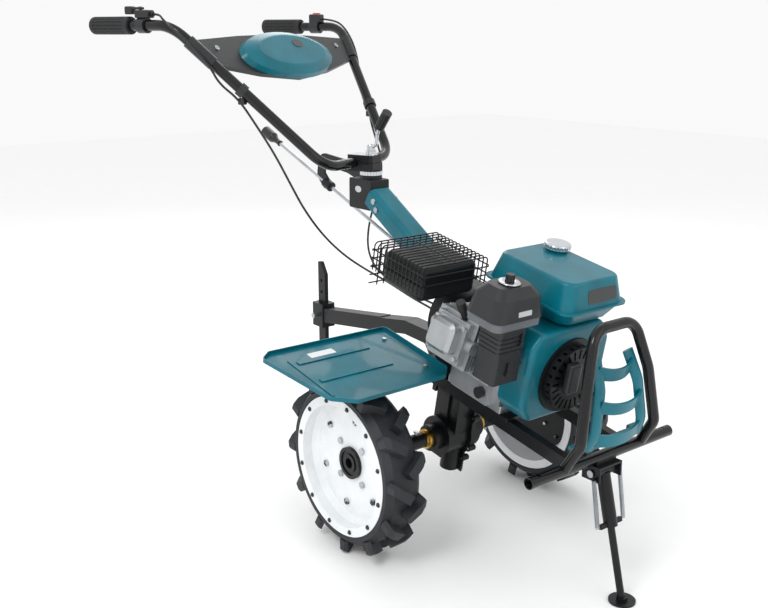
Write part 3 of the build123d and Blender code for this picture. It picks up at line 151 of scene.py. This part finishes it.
# Gloss paint on pressed rims: bright and clean.
white_paint = finish("white_gloss_rim_paint", "dfe3e5", "f2f4f5", (0.2, 0.32), coat=0.4, bump=0.03)
# Moulded tyre rubber: matt, with a fine grain.
tyre_rubber = finish("black_moulded_tyre_rubber", "131518", "23272c", (0.5, 0.72), bump=0.22,
                     grain=1400.0)
# Moulded grip rubber: duller than the tyre.
grip_rubber = finish("black_ribbed_grip_rubber", "121315", "1f2022", (0.55, 0.75), bump=0.2,
                     grain=1600.0)
# Plug boot rubber: smooth and matt.
plug_rubber = finish("black_plug_boot_rubber", "151617", "242526", (0.5, 0.65), bump=0.1)
# Moulded plastic with a satin spark-eroded grain.
black_plastic = finish("black_satin_moulded_plastic", "121315", "1f2124", (0.3, 0.44), bump=0.16,
                       grain=1800.0)
# The same plastic in grey.
grey_plastic = finish("grey_satin_moulded_plastic", "4c5054", "64686c", (0.34, 0.48), bump=0.14,
                      grain=1800.0)
# Gloss plastic of the stop button.
red_plastic = finish("red_gloss_moulded_plastic", "a80d12", "c8161b", (0.2, 0.3), bump=0.04)
# Polished chrome: a near mirror.
chrome_plate = finish("polished_chrome_plate", "c4c8cc", "e2e5e8", (0.05, 0.12), metallic=1.0, bump=0.0)
# Bright zinc on bolts, rods and springs: a soft metal shine.
zinc_plate = finish("bright_zinc_plate", "a2a7ac", "c6cace", (0.24, 0.4), metallic=1.0, bump=0.06)
# Passivated zinc: a yellow metal shine.
yellow_zinc = finish("yellow_zinc_plate", "a8843c", "cfae5e", (0.22, 0.38), metallic=1.0, bump=0.06)
# Ground steel of the shafts and bearings.
machined_steel = finish("ground_machined_steel", "8b8f93", "b4b8bc", (0.2, 0.34), metallic=1.0,
                        bump=0.08)
# Sand-cast aluminium: a coarse bright grain.
cast_aluminium = finish("sand_cast_aluminium", "9a9da0", "bcbfc1", (0.34, 0.55), metallic=0.9,
                        bump=0.6, grain=700.0)
# Dark label film with nothing printed on it.
blank_label = finish("dark_blank_label_film", "15181b", "1d2125", (0.18, 0.26), coat=0.4, bump=0.0)
# Silver label film with nothing printed on it.
silver_label = finish("silver_blank_label_film", "b9bdc0", "d0d4d6", (0.28, 0.4), metallic=0.4, bump=0.0)
# Extruded plastic sheath: smooth and dark.
cable_sheath = finish("black_extruded_cable_sheath", "0e0f11", "191b1e", (0.3, 0.42), bump=0.08)
# Pale paper label with nothing printed on it.
paper_label = finish("pale_blank_label_paper", "d9dcdd", "eceeee", (0.5, 0.62), bump=0.05)

# A low specular level keeps the dark paints deep in a white room.
DARK_PAINT_SPECULAR = 0.25
for dark_paint in (teal_paint, black_tube, black_paint):
    shader = dark_paint.node_tree.nodes["Principled BSDF"]
    shader.inputs["Specular IOR Level"].default_value = DARK_PAINT_SPECULAR

# %% [markdown]
# ## Finishes on the rigid parts
#
# Most parts have one finish. A part of several pieces gets a second one by where its faces lie.

# %% One finish for each part
FINISH = {
    teal_paint: ["fuel_tank", "fenders", "neck", "ladder_guard", "fan_shroud"],
    black_tube: ["handlebar", "bumper", "crossbar"],
    black_paint: ["gearcase_left", "gearcase_right", "clutch_case", "steering_head", "drawbar_and_socket",
                  "depth_bar", "front_stand", "stand_bracket", "chassis_frame", "hub_left", "hub_right",
                  "muffler_guard", "recoil_starter", "muffler", "hex_axle", "bar_clamp"],
    white_paint: ["rim_left", "rim_right"],
    tyre_rubber: ["tyre_left", "tyre_right"],
    grip_rubber: ["grips"],
    plug_rubber: ["ignition_plug"],
    cable_sheath: ["throttle_cable", "stop_cable"],
    black_plastic: ["handlebar_panel", "control_housings", "throttle_lever", "shift_knob", "air_filter_cover",
                    "carburettor_shield", "air_filter_knob", "choke_lever", "fuel_valve_lever",
                    "recoil_handle", "oil_filler_cap"],
    grey_plastic: ["air_filter_housing"],
    red_plastic: ["stop_button"],
    chrome_plate: ["clamp_handle", "fuel_cap"],
    zinc_plate: ["chassis_bolts", "stand_springs", "shift_rod", "depth_pin", "wheel_fasteners"],
    yellow_zinc: ["axle_gear_and_collars"],
    machined_steel: ["drive_shaft", "input_shaft", "bearings", "crankshaft_and_clutch"],
    cast_aluminium: ["engine_block", "cylinder_top", "flywheel"],
}
for material, nodes in FINISH.items():
    for name in nodes:
        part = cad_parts[name]
        part.data.materials.clear()
        part.data.materials.append(material)


# %% A second finish by place
def second_finish(name, material, inside):
    """Faces whose middle passes the test get another finish."""
    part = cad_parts[name]
    part.data.materials.append(material)
    slot = len(part.data.materials) - 1
    for face in part.data.polygons:
        if inside(face.center):
            face.material_index = slot


DOME_HEIGHT = 4.2
COVER_HALF_WIDTH = 200
SCREW_Y, SCREW_X, SCREW_REACH = 262, 74, 9
SCREW_HEIGHTS = (3, 9)
PLUG_RING_R = 0.105
GRIP_START_GAP = 0.001
JAWS_LOW, JAWS_HIGH = 0.8315, 0.8735
CLAMP_GRIP_START = machine(-294, 0, 945)
CLAMP_GRIP_WAY = Vector((0.64, 0, 0.77))
PANEL_FRAME = HANDLEBAR_FRAME @ Matrix.Translation(Vector((-331, 0, 1195)) * MM) @ Matrix(
    ((0.654, 0, 0.756), (0, 1, 0), (-0.756, 0, 0.654))
).to_4x4()
panel_back = PANEL_FRAME.inverted()
axle = machine(0, 0, AXLE_HEIGHT / MM)


def on_cover(point):
    """The dome stands above the panel's base, between the two clamps."""
    local = panel_back @ point / MM
    return local.z > DOME_HEIGHT and abs(local.y) < COVER_HALF_WIDTH


def on_panel_screw(point):
    local = panel_back @ point / MM
    beside = abs(abs(local.y) - SCREW_Y) < SCREW_REACH and abs(local.x - SCREW_X) < SCREW_REACH
    return beside and SCREW_HEIGHTS[0] < local.z < SCREW_HEIGHTS[1]


def near_the_rim(point):
    """The plugs sit in the rim's outer ring, outside the wheel bolts."""
    return math.hypot(point.x - axle.x, point.z - axle.z) > PLUG_RING_R


def on_clamp_grip(point):
    return (point - CLAMP_GRIP_START).dot(CLAMP_GRIP_WAY) > GRIP_START_GAP


def beyond_the_jaws(point):
    """The spindle's ends show above and below the two jaws."""
    return point.z > JAWS_HIGH or point.z < JAWS_LOW


second_finish("handlebar_panel", teal_paint, on_cover)
second_finish("control_housings", zinc_plate, on_panel_screw)
second_finish("wheel_fasteners", black_plastic, near_the_rim)
second_finish("clamp_handle", black_plastic, on_clamp_grip)
second_finish("bar_clamp", chrome_plate, beyond_the_jaws)

# %% [markdown]
# ## Control cables
#
# Each cable follows one smooth curve from its control down to the clutch case. It is cut at the steering
# head into an upper and a lower stretch.

# %% Cable routes, in millimetres from the ground under the axle
CABLE_R = 0.0028
THROTTLE_ROUTE = [(-572, -475, 1221), (-542, -468, 1221), (-507, -479, 1207), (-465, -434, 1154),
                  (-441, -395, 1100), (-441, -373, 1060), (-424, -331, 1023), (-391, -303, 960),
                  (-378, -262, 890), (-374, -222, 815), (-371, -182, 742), (-363, -130, 670),
                  (-335, -82, 615), (-288, -45, 580), (-225, -32, 562), (-165, -30, 548),
                  (-112, -31, 537), (-59.7, -30, 528.7), (2.3, -30, 517.5)]
STOP_ROUTE = [(-831, 199, 1217), (-806, 217, 1215), (-780, 239, 1202), (-719, 232, 1154),
              (-675, 219, 1098), (-636, 197, 1037), (-601, 178, 997), (-553, 166, 960), (-520, 148, 930),
              (-496, 146, 890), (-452, 132, 840), (-420, 104, 782), (-406, 68, 725), (-400, 45, 670),
              (-378, 24, 618), (-330, 6, 582), (-270, -2, 560), (-205, -4, 548), (-160, -5, 539),
              (-110, -6, 534), (-59.7, -4, 528.7), (2.3, -4, 517.5)]


# %% Cable meshes
def new_object(name, mesh, material):
    item = bpy.data.objects.new(name, mesh)
    bpy.context.collection.objects.link(item)
    mesh.materials.append(material)
    return item


def smooth_line(name, points):
    """The points of a smooth curve whose control points are the route."""
    curve = bpy.data.curves.new(name, "CURVE")
    curve.dimensions = "3D"
    curve.resolution_u = 10
    spline = curve.splines.new("NURBS")
    spline.points.add(len(points) - 1)
    for control, point in zip(spline.points, points):
        control.co = (*point, 1)
    spline.order_u = 3
    spline.use_endpoint_u = True
    holder = bpy.data.objects.new(name, curve)
    bpy.context.collection.objects.link(holder)
    seen = holder.evaluated_get(bpy.context.evaluated_depsgraph_get())
    mesh = bpy.data.meshes.new_from_object(seen)
    line = [vertex.co.copy() for vertex in mesh.vertices]
    bpy.data.objects.remove(holder)
    return line


def tube(name, line, radius, material, sides=16):
    """A closed round tube along a line, with no twist."""
    mesh = bpy.data.meshes.new(name)
    vertices = []
    side = None
    for i, point in enumerate(line):
        way = (line[min(i + 1, len(line) - 1)] - line[max(i - 1, 0)]).normalized()
        side = way.orthogonal() if side is None else side - way * side.dot(way)
        side.normalize()
        other = way.cross(side)
        for k in range(sides):
            angle = 2 * math.pi * k / sides
            vertices.append(point + (side * math.cos(angle) + other * math.sin(angle)) * radius)
    faces = []
    for i in range(len(line) - 1):
        for k in range(sides):
            a = i * sides + k
            b = i * sides + (k + 1) % sides
            faces.append((a, b, b + sides, a + sides))
    faces.append(tuple(reversed(range(sides))))
    faces.append(tuple((len(line) - 1) * sides + k for k in range(sides)))
    mesh.from_pydata(vertices, [], faces)
    mesh.shade_smooth()
    return new_object(name, mesh, material)


def control_cable(name, route, node, cut_near, clip_near):
    """The upper and lower stretch of one cable, which meet at the cut."""
    line = smooth_line(name, [machine(*point) for point in route])
    cut = min(range(len(line)), key=lambda i: (line[i] - machine(*cut_near)).length)
    clip = min(line, key=lambda p: (p - machine(*clip_near)).length)
    low_end = min(line, key=lambda p: (p - machine(*route[-5])).length)
    for label, part, bodies, start, end in (
        ("upper", line[: cut + 1], ("swivel_head", "handlebar"), line[cut], clip),
        ("lower", line[cut:], ("chassis", "swivel_head"), low_end, line[cut]),
    ):
        piece = tube(f"{name}_{label}", part, CABLE_R, cable_sheath)
        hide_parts(node)
        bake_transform(piece)


control_cable("throttle_line", THROTTLE_ROUTE, "throttle_cable", (-374, -222, 815), (-424, -331, 1023))
control_cable("stop_line", STOP_ROUTE, "stop_cable", (-452, 132, 840), (-553, 166, 960))

# %% [markdown]
# ## Stand springs
#
# Two springs hook between the bracket and the stand's leg. A Screw modifier could wind them, but a helix
# swept with round wire is simpler to place between two points.


# %% The coils
COIL_R, WIRE_R, COIL_PITCH, STEPS_PER_TURN = 0.0042, 0.001, 0.0028, 12


def stand_spring(name, points):
    """A coil between the highest and lowest ends of the plain spring it stands for."""
    heights = [p.z for p in points]
    near_top = [p for p in points if p.z > max(heights) - 2 * COIL_R]
    near_foot = [p for p in points if p.z < min(heights) + 2 * COIL_R]
    top = sum(near_top, Vector()) / len(near_top)
    foot = sum(near_foot, Vector()) / len(near_foot)
    way = (foot - top).normalized()
    side = way.orthogonal().normalized()
    other = way.cross(side)
    count = int((foot - top).length / COIL_PITCH * STEPS_PER_TURN)
    line = []
    for i in range(count + 1):
        angle = 2 * math.pi * i / STEPS_PER_TURN
        around = side * math.cos(angle) + other * math.sin(angle)
        line.append(top.lerp(foot, i / count) + around * COIL_R)
    piece = tube(name, line, WIRE_R, zinc_plate, sides=6)
    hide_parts("stand_springs")
    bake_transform(piece)
    print(name, "mm long:", round((foot - top).length / MM))


spring_points = [v.co.copy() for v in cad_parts["stand_springs"].data.vertices]
stand_spring("stand_spring_right", [p for p in spring_points if p.y < SHIFT.y])
stand_spring("stand_spring_left", [p for p in spring_points if p.y > SHIFT.y])

# %% [markdown]
# ## Blank plates and labels
#
# A plate is a thin closed sheet that is laid on the part under it: each of its points is dropped along the
# plate's normal until it meets the part. Nothing is printed on the plates.


# %% A plate laid on a part
DROP_FROM = 0.03
DROP_REACH = 0.06
PLATE_GAP = 0.05 * MM


def plate(name, node, body, place, centre, normal, upwards, size, roundness, material, lift=0.6, steps=24):
    """size is (width, height) in millimetres. roundness runs from 0, a rectangle, to 1, an ellipse."""
    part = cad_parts[node]
    corners = [v.co for v in part.data.vertices]
    tree = BVHTree.FromPolygons(corners, [tuple(p.vertices) for p in part.data.polygons])
    turn = place.to_3x3()
    out = (turn @ Vector(normal)).normalized()
    high = (turn @ Vector(upwards)).normalized()
    wide = high.cross(out).normalized()
    high = out.cross(wide)
    middle = place @ (Vector(centre) * MM)
    low, top = [], []
    for j in range(steps + 1):
        for i in range(steps + 1):
            u, v = 2 * i / steps - 1, 2 * j / steps - 1
            x = u * math.sqrt(1 - roundness * v * v / 2) * size[0] / 2 * MM
            y = v * math.sqrt(1 - roundness * u * u / 2) * size[1] / 2 * MM
            start = middle + wide * x + high * y + out * DROP_FROM
            hit = tree.ray_cast(start, -out, DROP_REACH)[0] or middle + wide * x + high * y
            low.append(hit + out * PLATE_GAP)
            top.append(hit + out * lift * MM)
    across_count = steps + 1
    count = across_count * across_count
    faces = []
    for j in range(steps):
        for i in range(steps):
            a = j * across_count + i
            quad = (a, a + 1, a + 1 + across_count, a + across_count)
            faces.append(tuple(count + k for k in quad))
            faces.append(tuple(reversed(quad)))
    ring = list(range(steps)) + [across_count * k + steps for k in range(steps)]
    ring += [count - 1 - k for k in range(steps)] + [across_count * (steps - k) for k in range(steps)]
    for a, b in zip(ring, ring[1:] + ring[:1]):
        faces.append((a, b, count + b, count + a))
    mesh = bpy.data.meshes.new(name)
    mesh.from_pydata(low + top, [], faces)
    piece = new_object(name, mesh, material)
    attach(piece, body)
    print(name, "rides on", body)


plate("tank_blank_badge", "fuel_tank", "chassis", CHASSIS_FRAME, (330, 54, 494), (1, 0, 0), (0, 0, 1),
      (92, 30), 0.25, blank_label)
plate("panel_blank_badge", "handlebar_panel", "handlebar", PANEL_FRAME, (86, 34, 32), (0, 0, 1), (-1, 0, 0),
      (44, 26), 1.0, blank_label, lift=1.2)
plate("fender_blank_label", "fenders", "chassis", CHASSIS_FRAME, (-130, -330, 228), (0, 0, 1), (1, 0, 0),
      (70, 26), 0.1, paper_label, lift=0.3)
plate("filter_blank_label", "air_filter_cover", "chassis", CHASSIS_FRAME, (306, -158, 481), (1, 0, 0),
      (0, 0, 1), (38, 11), 0.1, silver_label, lift=0.3)
plate("head_blank_label", "steering_head", "chassis", Matrix.Translation(SHIFT), (-345, -31, 785), (0, -1, 0),
      (0, 0, 1), (26, 17), 1.0, silver_label, lift=0.4)

# %% [markdown]
# ## Turned trim
#
# Round trim is spun from a half outline: a list of (radius, height) points turned about an axis.


# %% Turned pieces
def turned(name, body, place, at, way, outline, material, sides=48):
    """Spins (radius, height) points, in millimetres, about the direction at the point."""
    facing = Vector(way).to_track_quat("Z", "Y").to_matrix().to_4x4()
    turn = place @ Matrix.Translation(Vector(at) * MM) @ facing
    vertices, faces = [], []
    for radius, height in outline:
        for k in range(sides):
            angle = 2 * math.pi * k / sides
            point = Vector((radius * math.cos(angle), radius * math.sin(angle), height))
            vertices.append(turn @ (point * MM))
    count = len(outline)
    for i in range(count):
        for k in range(sides):
            a, b = i * sides + k, i * sides + (k + 1) % sides
            c, d = ((i + 1) % count) * sides + (k + 1) % sides, ((i + 1) % count) * sides + k
            faces.append((a, b, c, d))
    mesh = bpy.data.meshes.new(name)
    mesh.from_pydata(vertices, [], faces)
    mesh.shade_smooth()
    piece = new_object(name, mesh, material)
    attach(piece, body)
    print(name, "rides on", body)


DISHED_WASHER = [(9.4, 2.4), (12, 3.6), (20, 3.0), (23.4, 2.2), (23.6, 2.2), (23.8, 2.6), (20, 3.8),
                 (12, 4.6), (9.4, 3.6)]
turned("filter_knob_washer", "filter_knob", CHASSIS_FRAME, (256.5, -166, 531), (0, 0, 1), DISHED_WASHER,
       chrome_plate)

# %% [markdown]
# ## Floor, light and camera
#
# A white room lights the machine from all sides, and three large soft lamps shape it a little: one from the
# front right, one from the front and one from behind. A plain pale floor takes the shadow.

# %% Plain colour response, so that white stays white
bpy.context.scene.view_settings.view_transform = "Standard"

# %% Floor
floor_mesh = bpy.data.meshes.new("floor")
floor_mesh.from_pydata([(-9, -9, 0), (9, -9, 0), (9, 9, 0), (-9, 9, 0)], [], [(0, 1, 2, 3)])
floor = bpy.data.objects.new("floor", floor_mesh)
bpy.context.collection.objects.link(floor)
floor_mesh.materials.append(finish("plain_pale_floor", "fafafa", "fcfcfc", (0.9, 1.0), bump=0.0))

# %% Light
ROOM_LIGHT = 0.95
world = bpy.data.worlds.new("studio")
bpy.context.scene.world = world
world.use_nodes = True
world.node_tree.nodes["Background"].inputs["Color"].default_value = colour("ffffff")
world.node_tree.nodes["Background"].inputs["Strength"].default_value = ROOM_LIGHT


def soft_light(name, place, target, size, power):
    """A square area light that faces a point."""
    lamp = bpy.data.lights.new(name, "AREA")
    lamp.size = size
    lamp.energy = power
    item = bpy.data.objects.new(name, lamp)
    bpy.context.collection.objects.link(item)
    item.location = place
    item.rotation_euler = (Vector(target) - Vector(place)).to_track_quat("-Z", "Y").to_euler()


middle = (0, 0, 0.5)
soft_light("key_light", (1.2, -2.8, 3.4), middle, 1.4, 55)
soft_light("fill_light", (3.2, 0.6, 2.0), middle, 2.0, 12)
soft_light("back_light", (-2.4, 1.6, 2.6), middle, 2.0, 25)

# %% Camera
CAMERA_AT = Vector((1.7290, -1.5755, 1.1807)) + SHIFT
YAW = math.radians(38.18)
TILT = math.radians(15.28)
back = Vector((math.cos(TILT) * math.cos(YAW), -math.cos(TILT) * math.sin(YAW), math.sin(TILT)))
across = Vector((math.sin(YAW), math.cos(YAW), 0))
up = back.cross(across)
lens = bpy.data.cameras.new("camera")
lens.sensor_width = 36
lens.lens = 46.74
camera = bpy.data.objects.new("camera", lens)
bpy.context.collection.objects.link(camera)
camera.matrix_world = Matrix.Translation(CAMERA_AT) @ Matrix((across, up, back)).transposed().to_4x4()
bpy.context.scene.camera = camera
